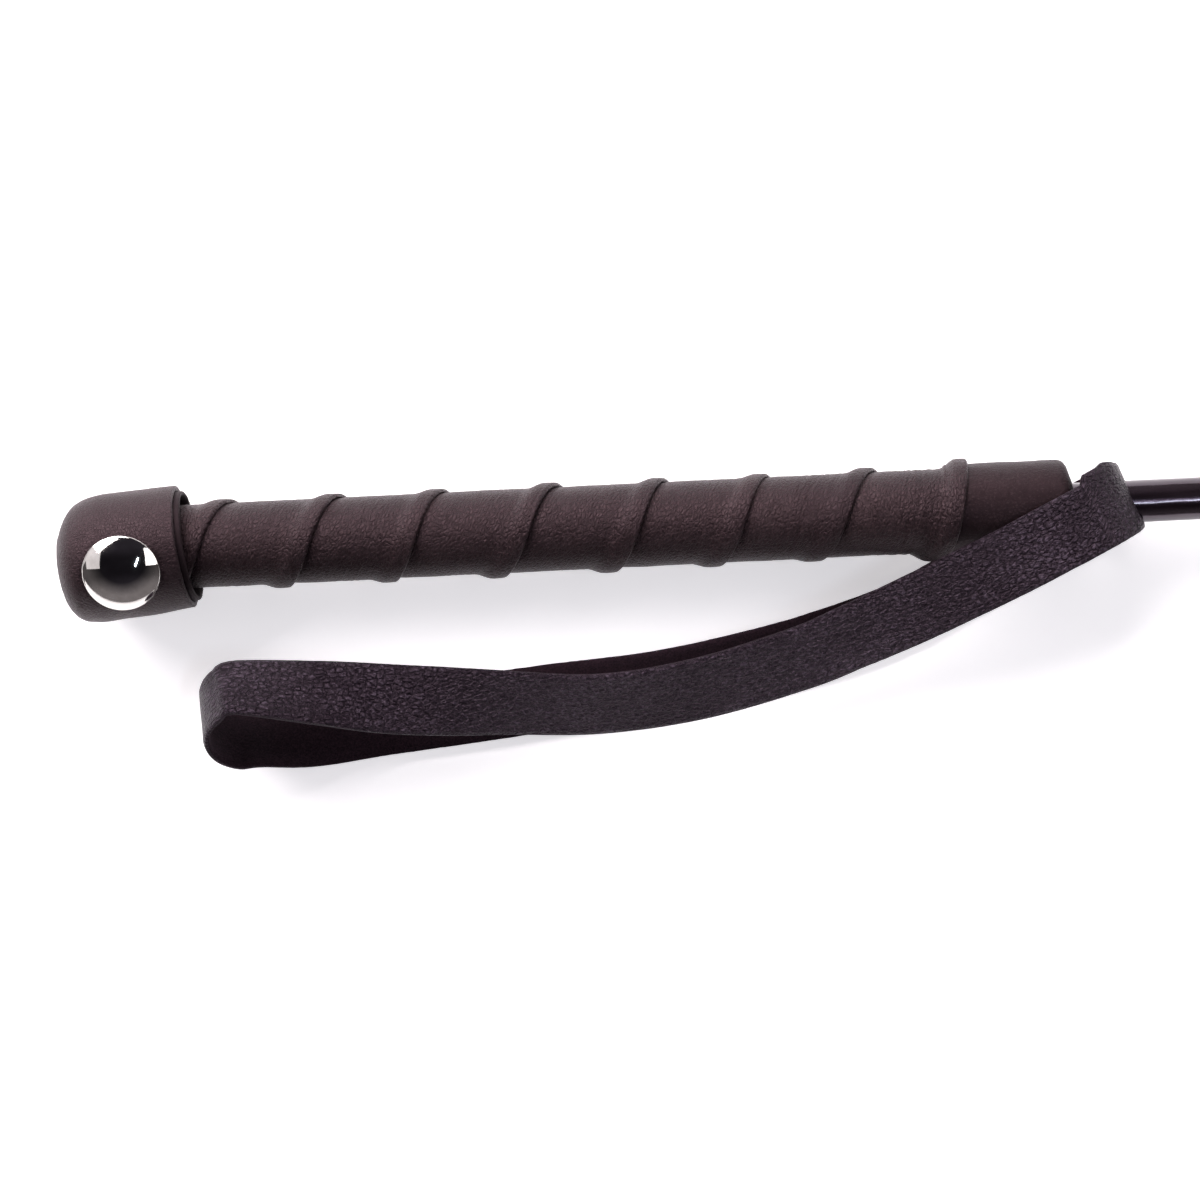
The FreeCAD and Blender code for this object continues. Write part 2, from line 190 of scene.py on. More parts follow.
# ---- materials ----
class Nodes:
    """A node tree and short ways to add nodes to it."""

    def __init__(self, tree):
        self.tree = tree
        tree.nodes.clear()

    def add(self, kind, inputs=None, **settings):
        made = self.tree.nodes.new("ShaderNode" + kind)
        for key, value in settings.items():
            setattr(made, key, value)
        for key, value in (inputs or {}).items():
            if isinstance(value, bpy.types.NodeSocket):
                self.tree.links.new(value, made.inputs[key])
            else:
                made.inputs[key].default_value = value
        return made

    def ramp(self, fac, stops, ease="LINEAR"):
        """Colour ramp from its stops; a plain number stands for a grey."""
        made = self.add("ValToRGB", {"Fac": fac})
        made.color_ramp.interpolation = ease
        elements = made.color_ramp.elements
        while len(elements) < len(stops):
            elements.new(0.5)
        for element, (position, colour) in zip(elements, stops):
            value = (colour,) * 3 if isinstance(colour, (int, float)) else colour
            element.position = position
            element.color = (*value, 1.0)
        return made.outputs["Color"]


class Shader(Nodes):
    """A Principled material, fed by patterns in millimetres."""

    def __init__(self, name, **sockets):
        self.material = bpy.data.materials.new(name)
        self.material.use_nodes = True
        super().__init__(self.material.node_tree)
        self.bsdf = self.add("BsdfPrincipled")
        self.add("OutputMaterial", {0: self.bsdf.outputs[0]})
        for key, value in sockets.items():
            self.bsdf.inputs[key.replace("_", " ")].default_value = value

    def where(self, scale=(1.0, 1.0, 1.0), source="flow"):
        """Place in millimetres, along the piece's own run or in the row's frame."""
        if source == "flow":
            out = self.add("Attribute", attribute_name="flow").outputs["Vector"]
        else:
            out = self.add("TexCoord").outputs["Object"]
            scale = tuple(s / MM for s in scale)
        return self.add("Mapping", {"Vector": out, "Scale": scale}).outputs[0]

    def noise(self, place, scale, detail=3.0, rough=0.55, twist=0.0):
        found = self.add("TexNoise", {"Vector": place, "Scale": scale, "Detail": detail,
                                      "Roughness": rough, "Distortion": twist})
        return found.outputs["Fac"]

    def cells(self, place, scale, feature="DISTANCE_TO_EDGE"):
        found = self.add("TexVoronoi", {"Vector": place, "Scale": scale}, feature=feature)
        return found.outputs["Distance"]

    def warped(self, place, scale, amount):
        """The same place pushed about a little, so that nothing in it stays straight."""
        push = self.add("TexNoise", {"Vector": place, "Scale": scale}).outputs["Color"]
        return self.add("VectorMath", {0: push, 1: (amount,) * 3, 2: place},
                        operation="MULTIPLY_ADD").outputs[0]

    def math(self, kind, a, b):
        return self.add("Math", {0: a, 1: b}, operation=kind).outputs[0]

    def mix(self, fac, a, b):
        a, b = [c if isinstance(c, bpy.types.NodeSocket) else (*c, 1.0) for c in (a, b)]
        return self.add("Mix", {"Factor": fac, 6: a, 7: b}, data_type="RGBA").outputs[2]

    def bump(self, height, depth, strength=1.0, under=None):
        made = self.add("Bump", {"Height": height, "Distance": depth * MM,
                                 "Strength": strength})
        if under is not None:
            self.tree.links.new(under, made.inputs["Normal"])
        return made.outputs["Normal"]

    def set(self, **sources):
        """Link the Principled sockets of these names and give the material back."""
        for key, value in sources.items():
            self.tree.links.new(value, self.bsdf.inputs[key.replace("_", " ")])
        return self.material

    def led_by(self, fac, colours, roughness, **sources):
        """Set colour and roughness from stops along one pattern."""
        return self.set(Base_Color=self.ramp(fac, colours),
                        Roughness=self.ramp(fac, roughness), **sources)


BROWN, WARM_BROWN = (0.0046, 0.0022, 0.0031), (0.0118, 0.0064, 0.0076)
ROSE_SHINE, VIOLET_SHINE = (1.0, 0.68, 0.76, 1.0), (0.97, 0.72, 0.94, 1.0)


def leather(name, dark, light, tip, grain, depth, rough, shine, tint=ROSE_SHINE, run=1.0,
            crease=0.0, suede=False):
    """Grained leather, dark to light in patches, with painted shade in the grooves of its grain
    and tip painted on its high points as a highlight.
    grain is the size of a pebble, run stretches it along the piece and crease adds longer
    folds; with suede the flesh side and the cut edges are told by the third part of the
    flow attribute."""
    shader = Shader(name, Specular_IOR_Level=shine, Specular_Tint=tint)
    place = shader.where((1.0 / run, 1.0, 1.0))
    patch = shader.noise(shader.where((0.35, 0.6, 1.0)), 0.12, 4.0, 0.6)
    fine = shader.noise(place, 1.9 / grain, 4.0, 0.62, 0.6)
    pebble = shader.cells(shader.warped(place, 1.3 / grain, 0.9 * grain), 1.0 / grain)
    groove = shader.ramp(pebble, [(0.0, 0.0), (0.16, 0.75), (0.5, 1.0)])
    colour = shader.ramp(patch, [(0.28, dark), (0.72, light)])
    # painted shade: the colour darkens towards 0.45 of dark in the grooves of the grain
    colour = shader.mix(shader.ramp(groove, [(0.0, 0.55), (1.0, 0.0)]), colour,
                        tuple(0.45 * c for c in dark))
    height = shader.math("ADD", shader.math("MULTIPLY", groove, 0.6), fine)
    # painted highlight: this mask lays the colour tip on the grain's high points as glints
    glint_mask = shader.math("ADD", shader.math("MULTIPLY", fine, 0.7),
                       shader.math("MULTIPLY", patch, 0.3))
    glint_mask = shader.math("ADD", glint_mask, shader.math("MULTIPLY", groove, 0.1))
    colour = shader.mix(shader.ramp(glint_mask, [(0.59, 0.0), (0.67, 1.0)]), colour, tip)
    roughness = shader.ramp(fine, [(0.3, rough[0]), (0.75, rough[1])])
    if suede:
        flow = shader.add("Attribute", attribute_name="flow").outputs["Vector"]
        side = shader.add("SeparateXYZ", {0: flow}).outputs["Z"]
        back = shader.ramp(side, [(0.3, 0.0), (0.7, 1.0)])
        height = shader.math("MULTIPLY", height, shader.ramp(side, [(0.3, 1.0), (0.7, 0.15)]))
    normal = shader.bump(height, depth)
    if crease:
        folds = shader.noise(shader.where((0.16, 1.0, 1.0)), 0.75, 3.0, 0.6, 1.4)
        normal = shader.bump(folds, crease, 1.0, normal)
    if suede:
        fibre = shader.noise(shader.where(source="object"), 2.6, 5.0, 0.75)
        nap = shader.ramp(fibre, [(0.38, (0.0020, 0.0007, 0.0012)),
                                  (0.62, (0.0190, 0.0092, 0.0128))])
        colour = shader.mix(back, colour, nap)
        roughness = shader.mix(back, roughness, (0.95, 0.95, 0.95))
        normal = shader.bump(shader.math("MULTIPLY", fibre, back), 0.12, 1.0, normal)
    return shader.set(Base_Color=colour, Roughness=roughness, Normal=normal)


def leathers():
    """The six leathers, from the grip to the keeper; the third colour of each is the painted
    highlight on its grain's high points.
    """
    return {
        "wrap": leather("wrap_leather", BROWN, WARM_BROWN, (0.027, 0.017, 0.018), grain=0.72,
                        depth=0.21, rough=(0.32, 0.50), shine=0.34, run=1.5, crease=0.18),
        "collar": leather("collar_leather", BROWN, WARM_BROWN, (0.021, 0.0135, 0.015),
                          grain=0.70, depth=0.06, rough=(0.40, 0.54), shine=0.24, run=1.2,
                          crease=0.05),
        "cap": leather("cap_leather", BROWN, (0.0095, 0.0055, 0.0066),
                       (0.016, 0.0105, 0.0118), grain=0.70, depth=0.13, rough=(0.38, 0.54),
                       shine=0.36),
        "lining": leather("lining_leather", (0.004, 0.0026, 0.0034), (0.010, 0.007, 0.0085),
                          (0.014, 0.010, 0.012), grain=0.5, depth=0.03, rough=(0.55, 0.75),
                          shine=0.25),
        "strap": leather("strap_leather", (0.0030, 0.0015, 0.0028), (0.0068, 0.0040, 0.0066),
                         (0.050, 0.038, 0.052), grain=1.05, depth=0.42, rough=(0.26, 0.42),
                         shine=0.28, tint=VIOLET_SHINE, run=1.5, crease=0.22, suede=True),
        "keeper": leather("keeper_leather", (0.0075, 0.0050, 0.0065),
                          (0.015, 0.0105, 0.0135), (0.036, 0.028, 0.038), grain=0.90,
                          depth=0.18, rough=(0.36, 0.56), shine=0.40, run=1.4, crease=0.18,
                          suede=True)}


def polished_nickel():
    shader = Shader("rivet_nickel", Metallic=1.0, Coat_Weight=0.15, Coat_Roughness=0.04)
    haze = shader.noise(shader.where(source="object"), 0.35, 3.0)
    scratch = shader.noise(shader.where((9.0, 0.5, 0.5), "object"), 2.0, 3.0, 0.7, 0.3)
    return shader.led_by(haze, [(0.3, (0.62, 0.60, 0.57)), (0.7, (0.78, 0.76, 0.73))],
                         [(0.35, 0.03), (0.75, 0.09)], Normal=shader.bump(scratch, 0.0006))


def shaft_plastic():
    """Glossy black cover with slow ripples along it."""
    shader = Shader("shaft_cover", Coat_Weight=0.4, Coat_Roughness=0.05, Specular_IOR_Level=0.6,
                    Specular_Tint=VIOLET_SHINE)
    drift = shader.noise(shader.where((0.12, 1.0, 1.0), "object"), 0.5, 3.0)
    ripple = shader.noise(shader.where((0.5, 1.0, 1.0), "object"), 0.45, 2.0, 0.5)
    return shader.led_by(drift, [(0.3, (0.0035, 0.0022, 0.0030)),
                                 (0.75, (0.0065, 0.0045, 0.0058))],
                         [(0.3, 0.14), (0.7, 0.24)], Normal=shader.bump(ripple, 0.02),
                         Coat_Normal=shader.bump(ripple, 0.03))


def waxed_thread(name):
    shader = Shader(name, Sheen_Weight=0.15, Sheen_Roughness=0.5, Specular_IOR_Level=0.4)
    strand = shader.add("TexWave", {"Vector": shader.where(), "Scale": 0.9, "Distortion": 0.6,
                                    "Detail": 2.0}, bands_direction="DIAGONAL").outputs["Fac"]
    fuzz = shader.noise(shader.where(source="object"), 6.0, 3.0, 0.7)
    return shader.led_by(fuzz, [(0.3, (0.009, 0.007, 0.008)), (0.8, (0.032, 0.026, 0.029))],
                         [(0.3, 0.5), (0.8, 0.75)],
                         Normal=shader.bump(strand, 0.09, 1.0, shader.bump(fuzz, 0.02)))


def turned_wood():
    shader = Shader("core_wood", Specular_IOR_Level=0.35)
    rings = shader.add("TexWave", {"Vector": shader.where((0.05, 1.0, 1.0), "object"),
                                   "Scale": 0.22, "Distortion": 5.0, "Detail": 3.0},
                       bands_direction="Y").outputs["Fac"]
    pores = shader.noise(shader.where((0.08, 2.0, 2.0), "object"), 2.4, 3.0, 0.7)
    colour = shader.ramp(rings, [(0.2, (0.42, 0.27, 0.14)), (0.8, (0.60, 0.43, 0.25))])
    return shader.set(
        Base_Color=shader.mix(shader.ramp(pores, [(0.25, 0.5), (0.45, 0.0)]), colour,
                              (0.20, 0.11, 0.05)),
        Roughness=shader.ramp(pores, [(0.3, 0.72), (0.7, 0.55)]),
        Normal=shader.bump(pores, 0.05))


def foam_rubber():
    shader = Shader("underlay_rubber", Specular_IOR_Level=0.35)
    foam = shader.cells(shader.where(source="object"), 1.6, "F1")
    return shader.led_by(foam, [(0.1, (0.012, 0.012, 0.013)), (0.8, (0.035, 0.034, 0.035))],
                         [(0.1, 0.9), (0.8, 0.75)], Normal=shader.bump(foam, 0.06))


def glass_fibre():
    shader = Shader("fibre_rod", Specular_IOR_Level=0.5)
    lines = shader.noise(shader.where((0.02, 3.0, 3.0), "object"), 1.6, 3.0, 0.7)
    return shader.led_by(lines, [(0.25, (0.42, 0.43, 0.34)), (0.8, (0.66, 0.66, 0.55))],
                         [(0.3, 0.32), (0.7, 0.5)], Normal=shader.bump(lines, 0.02))


def drawn_steel():
    shader = Shader("rivet_steel", Metallic=1.0)
    drawn = shader.noise(shader.where((2.0, 2.0, 0.15), "object"), 2.0, 3.0, 0.65)
    return shader.led_by(drawn, [(0.3, (0.36, 0.35, 0.34)), (0.8, (0.55, 0.54, 0.52))],
                         [(0.3, 0.28), (0.8, 0.45)], Normal=shader.bump(drawn, 0.01))


looks = {**leathers(), "nickel": polished_nickel(), "shaft": shaft_plastic(),
         "whipping": waxed_thread("whipping_thread"), "stitch": waxed_thread("stitch_thread")}
wood = turned_wood()
# the inner pieces stay as model.glb has them
carried = {"shaft_core": glass_fibre(), "handle_core": wood, "handle_underlay": foam_rubber(),
           "butt_knob": wood, "rivet_post": drawn_steel()}
for node, material in carried.items():
    for material_slot in frame["nodes"][node].material_slots:
        material_slot.material = material

# ---- shaft ----
ROD_RADIUS, ROD_TIP_RADIUS = 3.4, 1.5
SLEEVE_RADIUS, SLEEVE_TIP_RADIUS = 4.25, 2.1
SLEEVE_START, PARALLEL_END, SHAFT_END = 70.0, 150.0, 488.0


def taper(x, r0, r1):
    """Radius at x of a rod that is parallel at first and then tapers from r0 to r1."""
    return r0 + (r1 - r0) * np.clip((x - PARALLEL_END) / (SHAFT_END - PARALLEL_END), 0.0, 1.0)


def make_sleeve():
    """Smooth cover over the rod, very slightly uneven along its length."""
    count, stations = 48, 420
    angles = np.linspace(0.0, 2.0 * math.pi, count, endpoint=False)
    rows = []
    for x in np.linspace(SLEEVE_START, SHAFT_END, stations):
        radius = taper(x, SLEEVE_RADIUS, SLEEVE_TIP_RADIUS)
        ripple = [0.022 * wave(x * 0.21, 2.2 * math.cos(a), 2.2 * math.sin(a)) for a in angles]
        rows.append(around(np.full(count, x), radius + np.array(ripple) - 0.02, angles))
    for x in (SHAFT_END, SLEEVE_START):
        radius = taper(x, ROD_RADIUS, ROD_TIP_RADIUS) + 0.005
        rows.append(around(np.full(count, x), np.full(count, radius), angles))
    points = laid(np.array(rows).reshape(-1, 3))
    faces = grid_faces(len(rows), count, True, True)
    piece("shaft_sleeve_cover", points, faces, looks["shaft"], "crop", ["shaft_sleeve"])


# ---- handle ----
HANDLE_REAR, HANDLE_FRONT = -88.3, 92.3
UNDERLAY_RADIUS, WRAP_RADIUS = 7.11, 8.3
COLLAR_RADIUS, COLLAR_LEVEL_END, COLLAR_LIP = 9.15, 90.0, 1.4
COLLAR_TUCK = 3.9                   # how far the band runs in under the last lap
LAP_WIDTH = 4.5
LAST_TURN = 6.25                    # the strip ends under the handle after this many turns
# the strip's front edge: turns of the winding and where the edge stands then
edge_x = curve_through(
    [-3, -2, -1, 0, 1, 2, 3, 4, 5, 5.25, 5.5, 5.75, 6, 6.25],
    [-114.6, -93.5, -72.5, -50.9, -30.4, -8.0, 13.4, 33.7, 54.7, 61.3, 67.4, 71.0, 73.4, 74.2])
# how far the lap stands over the strip's own level, at the same turns
lap_rise = curve_through([-3, -1, 0, 1, 2, 3, 4, 5, 5.3, 5.6, 6.25],
                         [0.72, 0.7, 0.75, 0.72, 0.95, 0.78, 0.7, 0.85, 1.45, 1.75, 1.75])
LAP_STEPS = [0.0, 0.05, 0.18, 0.4, 0.8, 1.4, 2.1, 2.8, 3.5, 4.1, 4.7, 5.3, 5.9, 6.5, 7.1, 7.7,
             8.4]                   # columns behind the edge, close together at the lap
FIRST_TURN, STEPS_PER_TURN = -1.9, 96
STRIP_PER_TURN = 52.0               # length of strip in one turn
HIDDEN_DEPTH = 0.14                 # how far the strip dives under the next turn


def wrap_outside(turn, behind, width, rise):
    """Radius of the strip's outer face at places behind its front edge."""
    run = turn * STRIP_PER_TURN
    crown = 1.0 - smooth(2.3, 5.8, behind)
    radius = WRAP_RADIUS + rise * crown
    radius += 0.10 * np.sin(np.clip(behind / 4.6, 0, 1) * math.pi) * crown
    radius -= 0.62 * (1.0 - np.clip(behind / 0.45, 0, 1)) ** 2
    loose = 0.45 + 0.9 * float(smooth(4.4, 5.6, turn)) + 0.5 * abs(wave(turn * 0.9, 7.0))
    for k, b in enumerate(behind):
        pull = float(smooth(3.0, 5.0, b) * (1.0 - smooth(9.0, 17.0, b)))
        folds = wave(b * 1.5 + 0.3 * wave(run * 0.2, b), run * 0.09, 3.0)
        folds += 0.6 * wave(b * 3.1, run * 0.17, 9.0)
        radius[k] += 0.12 * loose * pull * folds
        radius[k] += 0.10 * wave(b * 0.17, run * 0.045, 21.0)
        radius[k] -= 0.55 * (1.0 - float(smooth(0.0, 7.0, width - b)))
        if width - b < LAP_WIDTH + 0.3:
            radius[k] = min(radius[k], WRAP_RADIUS - HIDDEN_DEPTH)
    return radius


def wrap_inside(width, rise):
    """Places behind the front edge and radii of the strip's inner face, back to front."""
    under = WRAP_RADIUS - 0.10 + max(rise - 0.95, 0.0)
    inner_share = np.array([1.0, 0.7, 0.4, 0.12])
    places = np.concatenate([inner_share * (width - 7.6) + 7.6,
                             [6.2, 5.2, 4.9, 4.6, 3.4, 2.2, 1.0, 0.35]])
    radii = np.concatenate([np.full(4, UNDERLAY_RADIUS),
                            [UNDERLAY_RADIUS + 0.02, UNDERLAY_RADIUS + 0.6, under - 0.25],
                            np.full(5, under)])
    return places, radii


def cut_off_rear(points, faces, flow):
    """Cut a closed mesh off at the handle's rear end and close it there."""
    bm = bmesh.new()
    layer = bm.verts.layers.float_vector.new("flow")
    for p, f in zip(points, flow):
        bm.verts.new(p)[layer] = f
    bm.verts.ensure_lookup_table()
    for face in faces:
        bm.faces.new([bm.verts[i] for i in face])
    cut = bmesh.ops.bisect_plane(bm, geom=bm.verts[:] + bm.edges[:] + bm.faces[:],
                                 plane_co=(HANDLE_REAR, 0, 0), plane_no=(-1, 0, 0),
                                 clear_outer=True)
    rim = [e for e in cut["geom_cut"] if isinstance(e, bmesh.types.BMEdge)]
    bmesh.ops.holes_fill(bm, edges=rim, sides=0)
    bmesh.ops.triangulate(bm, faces=[f for f in bm.faces if len(f.verts) > 4])
    bm.verts.ensure_lookup_table()
    bm.verts.index_update()
    kept = (np.array([v.co for v in bm.verts]),
            [tuple(v.index for v in f.verts) for f in bm.faces],
            np.array([v[layer] for v in bm.verts]))
    bm.free()
    return kept


def make_wrap():
    """One leather strip wound left-handed; the front edge of each turn laps the next."""
    count = int((LAST_TURN - FIRST_TURN) * STEPS_PER_TURN) + 1
    lap_steps = np.array(LAP_STEPS)
    back_share = np.linspace(0.0, 1.0, 56)[1:]
    points, flow = [], []
    for turn in np.linspace(FIRST_TURN, LAST_TURN, count):
        x_edge = float(edge_x(turn))
        rise = float(lap_rise(turn))
        width = x_edge - float(edge_x(turn - 1.0)) + LAP_WIDTH
        run = turn * STRIP_PER_TURN
        behind = np.concatenate([lap_steps,
                                 lap_steps[-1] + back_share * (width - lap_steps[-1])])
        shift = 0.10 * wave(run * 0.11, 40.0) + 0.05 * wave(run * 0.45, 50.0)
        x = x_edge - behind + shift * np.exp(-behind / 3.0)
        inner_places, inner_radii = wrap_inside(width, rise)
        ring_x = np.concatenate([x, x_edge - inner_places])
        ring_r = np.concatenate([wrap_outside(turn, behind, width, rise), inner_radii])
        angle = -2.0 * math.pi * turn
        points.append(around(ring_x, ring_r, np.full(len(ring_x), angle)))
        across = np.concatenate([behind, -inner_places])
        flow.append(np.stack([np.full(len(ring_x), run), across, np.zeros(len(ring_x))], -1))
    faces = tube_faces(count, len(points[0]))
    points, faces, flow = cut_off_rear(np.array(points).reshape(-1, 3), faces,
                                       np.array(flow).reshape(-1, 3))
    piece("grip_wrap_leather", laid(points), faces, looks["wrap"], "crop", ["grip_wrap"],
          flow)


def make_collar():
    """Smooth leather band at the handle's front, its rear edge under the last lap."""
    count, level_steps = 144, 32
    uneven = range(3, level_steps + 10)  # points of the outline on the band's outer face
    points, flow = [], []
    for j in range(count):
        angle = 2.0 * math.pi * j / count
        turn = LAST_TURN - ((LAST_TURN + angle / (2.0 * math.pi)) % 1.0)
        rear = float(edge_x(turn)) - COLLAR_TUCK
        length = COLLAR_LEVEL_END - rear
        outline = [(rear, UNDERLAY_RADIUS + 0.02), (rear, 8.25), (rear + 0.25, 8.75)]
        for k in range(1, level_steps + 1):
            outline.append((rear + 0.25 + (length - 0.25) * k / level_steps, COLLAR_RADIUS))
        outline += [(90.9, 9.1), (91.5, 8.97), (91.95, 8.72), (92.25, 8.35), (92.42, 7.9),
                    (92.72, 7.1), (93.02, 6.3), (93.28, 5.6), (93.4, 5.1), (93.25, 4.65),
                    (92.9, SLEEVE_RADIUS + 0.03),
                    (HANDLE_FRONT - COLLAR_LIP, SLEEVE_RADIUS + 0.03),
                    (HANDLE_FRONT - COLLAR_LIP, UNDERLAY_RADIUS + 0.02)]
        ring = []
        for k, (x, r) in enumerate(outline):
            if k in uneven:
                around_y, around_z = 1.6 * math.cos(angle), 1.6 * math.sin(angle)
                r += 0.10 * wave(x * 0.16, around_y, around_z)
                r += 0.035 * wave(x * 0.6, 3.0 * around_y, 3.0 * around_z)
                r -= 0.06
            ring.append((x, r * math.cos(angle), r * math.sin(angle)))
            flow.append((x, angle * COLLAR_RADIUS, 0.0))
        points += ring
    faces = grid_faces(count, len(points) // count, True, True)
    piece("front_collar_leather", laid(points), faces, looks["collar"], "crop",
          ["front_collar"], flow)


# ---- butt ----
CAP_MOUTH_X, CAP_SKEW, CAP_LENGTH, CAP_RADIUS = -82.1, 6.0, 25.8, 12.75
CAP_END = 24.65                     # the leather is pressed a little flatter at its end
CAP_LEATHER, LINING_LEATHER, LINING_EDGE = 1.3, 0.8, 1.1
CUP_COLUMNS, CUP_UNEVEN, CUP_GAP = 120, 0.16, 0.02
# the cap's radius at depths from its mouth: squarer on one side, rounder on the other
square_side = curve_through([0, 7, 14, 19.5, 22.0, 23.3, 24.2, 24.55, 24.65],
                            [12.1, 12.35, 12.4, 12.15, 11.4, 10.1, 7.9, 5.1, 0.0])
round_side = curve_through([0, 6, 12, 16, 18.8, 21.0, 22.6, 23.7, 24.4, 24.65],
                           [12.15, 12.5, 12.7, 12.65, 12.1, 10.9, 8.9, 6.6, 4.0, 0.0])


def skewed(points):
    """Put a piece drawn from the cap's mouth, closed end on -x, on the handle."""
    return laid(turned_about(points, "Z", CAP_SKEW) + [CAP_MOUTH_X, 0, 0])


def cup_rings(inset, depths):
    """Rings of the cap's form shrunk by the inset, from the mouth to near the pole."""
    across = 1.0 - inset / CAP_RADIUS
    along = 1.0 - inset / CAP_LENGTH
    rings = []
    for depth in depths:
        ring = []
        for j in range(CUP_COLUMNS):
            angle = 2.0 * math.pi * j / CUP_COLUMNS
            square = 0.5 - 0.5 * math.cos(angle)
            r = square * float(square_side(depth)) + (1.0 - square) * float(round_side(depth))
            r = r * across
            r += CUP_UNEVEN * wave(depth * 0.14, 1.5 * math.cos(angle), 1.5 * math.sin(angle))
            ring.append((-depth * along, r * math.cos(angle), r * math.sin(angle)))
        rings.append(ring)
    return rings


RIVET_FROM_MOUTH, RIVET_LEAN = 11.2, 18.0
RIVET_RADIUS, RIVET_BASE, RIVET_RISE, RIVET_SHEET = 7.5, 12.3, 2.7, 0.5
RIM_SINK = 0.45                     # how far the rivet's rim sinks into the leather


def pressed(points):
    """Press the cap's leather down under the rivet, with a soft edge round it."""
    lean = math.radians(RIVET_LEAN)
    up = np.array([0.0, -math.sin(lean), math.cos(lean)])
    level = RIVET_BASE - RIM_SINK
    moved = []
    for p in np.asarray(points, dtype=float):
        q = p + [RIVET_FROM_MOUTH, 0.0, 0.0]
        height = float(np.dot(q, up))
        away = float(np.linalg.norm(q - up * height))
        if height > 0.0:
            near = 1.0 - float(smooth(RIVET_RADIUS - 0.6, RIVET_RADIUS + 2.6, away))
            p = p - up * (max(height - level, 0.0) * near)
        moved.append(p)
    return np.array(moved)


def cup(name, outer, inner, edge, material, node):
    """A leather cup between two insets, with a rounded edge at its mouth; a fan closes it."""
    depths = np.concatenate([np.linspace(0.35, 17.5, 27), np.linspace(18.0, 24.0, 16),
                             [24.3, 24.5, 24.61]])
    outside = cup_rings(outer, depths)
    inside = cup_rings(inner, depths)
    middle = 0.5 * (outer + inner)
    lip = []
    for inset, x in ((inner, edge - 0.22), (middle + 0.24, edge), (middle - 0.24, edge),
                     (outer, edge - 0.22)):
        ring = cup_rings(inset, [0.0])[0]
        lip.append([(x + 0.12 * wave(2.0 * y, 2.0 * z, 5.0), y, z) for _, y, z in ring])
    if edge > 0.0:
        lip.insert(0, [(0.2, y, z) for _, y, z in cup_rings(inner, [0.0])[0]])
        lip.append([(0.2, y, z) for _, y, z in cup_rings(outer, [0.0])[0]])
    rings = inside[::-1] + lip + outside
    points = [p for ring in rings for p in ring]
    points += [(-CAP_END * (1.0 - inset / CAP_LENGTH), 0.0, 0.0) for inset in (inner, outer)]
    faces = grid_faces(len(rings), CUP_COLUMNS, False, True)
    last = (len(rings) - 1) * CUP_COLUMNS
    for j in range(CUP_COLUMNS):
        k = (j + 1) % CUP_COLUMNS
        faces.append((j, k, len(points) - 2))
        faces.append((last + j, last + k, len(points) - 1))
    piece(name, skewed(pressed(points)), faces, material, "crop", [node], points)


def make_rivet():
    """Polished domed cap with a rolled rim, hollow underneath."""
    count = 128
    ball = (RIVET_RADIUS ** 2 + RIVET_RISE ** 2) / (2.0 * RIVET_RISE)
    centre = RIVET_BASE + RIVET_RISE - ball
    outline = []
    for k in range(1, 30):
        r = (RIVET_RADIUS - 0.22) * k / 29.0
        outline.append((r, centre + math.sqrt(ball * ball - r * r)))
    edge_z = outline[-1][1]
    rim = [(0.08, 0.08), (0.0, 0.26), (0.02, 0.5), (0.14, 0.68), (0.34, 0.72), (0.5, 0.55)]
    outline += [(RIVET_RADIUS - inwards, edge_z - down) for inwards, down in rim]
    for k in range(11, 0, -1):
        r = (RIVET_RADIUS - RIVET_SHEET - 0.1) * k / 11.0
        outline.append((r, centre + math.sqrt((ball - RIVET_SHEET) ** 2 - r * r)))
    points = [(0.0, 0.0, RIVET_BASE + RIVET_RISE)]
    for r, z in outline:
        for j in range(count):
            angle = 2.0 * math.pi * j / count
            points.append((r * math.cos(angle), r * math.sin(angle), z))
    points.append((0.0, 0.0, RIVET_BASE + RIVET_RISE - RIVET_SHEET))
    rows = len(outline)
    faces = [tuple(i + 1 for i in f) for f in grid_faces(rows, count, False, True)]
    last = 1 + (rows - 1) * count
    for j in range(count):
        faces.append((0, 1 + j, 1 + (j + 1) % count))
        faces.append((len(points) - 1, last + j, last + (j + 1) % count))
    leaned = turned_about(points, "X", RIVET_LEAN) + [-RIVET_FROM_MOUTH, 0, 0]
    piece("rivet_cap_nickel", skewed(leaned), faces, looks["nickel"], "crop", ["rivet_cap"])


# ---- wrist loop ----
STRAP_WIDTH, STRAP_LEATHER, STRAP_HOLE = 13.8, 1.3, 4.6
STRAP_COLUMNS, STRAP_STEP = 19, 0.7
HOLE_START, HOLE_END = 95.3, 117.5
FOLD_POINT, FOLD_ANGLE, FOLD_SKEW = (105.5, 1.35), 25.3, 21.5
# x, y, height, direction in plan, tilt of the width
UPPER_RUN = [
    (79.6, -11.0, 19.8, 25, 5), (69.3, -15.6, 17.7, 24, 7), (59.1, -20.1, 14.6, 22, 11),
    (48.9, -24.2, 12.2, 20, 18), (38.7, -28.0, 10.6, 16, 22), (18.4, -33.1, 9.6, 10, 26),
    (-1.7, -35.2, 9.8, 2, 29), (-21.7, -33.9, 11.4, -4, 20), (-41.4, -32.2, 14.2, -6, -5),
    (-57.0, -30.0, 16.9, -2, -28)]
LOWER_RUN = [
    (-59.0, -38.6, 2.9, -4, -17), (-46.0, -37.1, 1.0, -6, -2), (-30.0, -35.6, 1.05, -5, 2),
    (-12.0, -33.8, 2.25, -2, 11), (8.5, -31.8, 3.75, 5, 23), (26.0, -29.0, 3.9, 12, 24),
    (42.0, -25.8, 3.2, 18, 17), (59.0, -21.0, 1.5, 23, 5), (72.0, -15.1, 0.8, 25, 0),
    (86.0, -8.1, 0.75, 25.3, 0)]
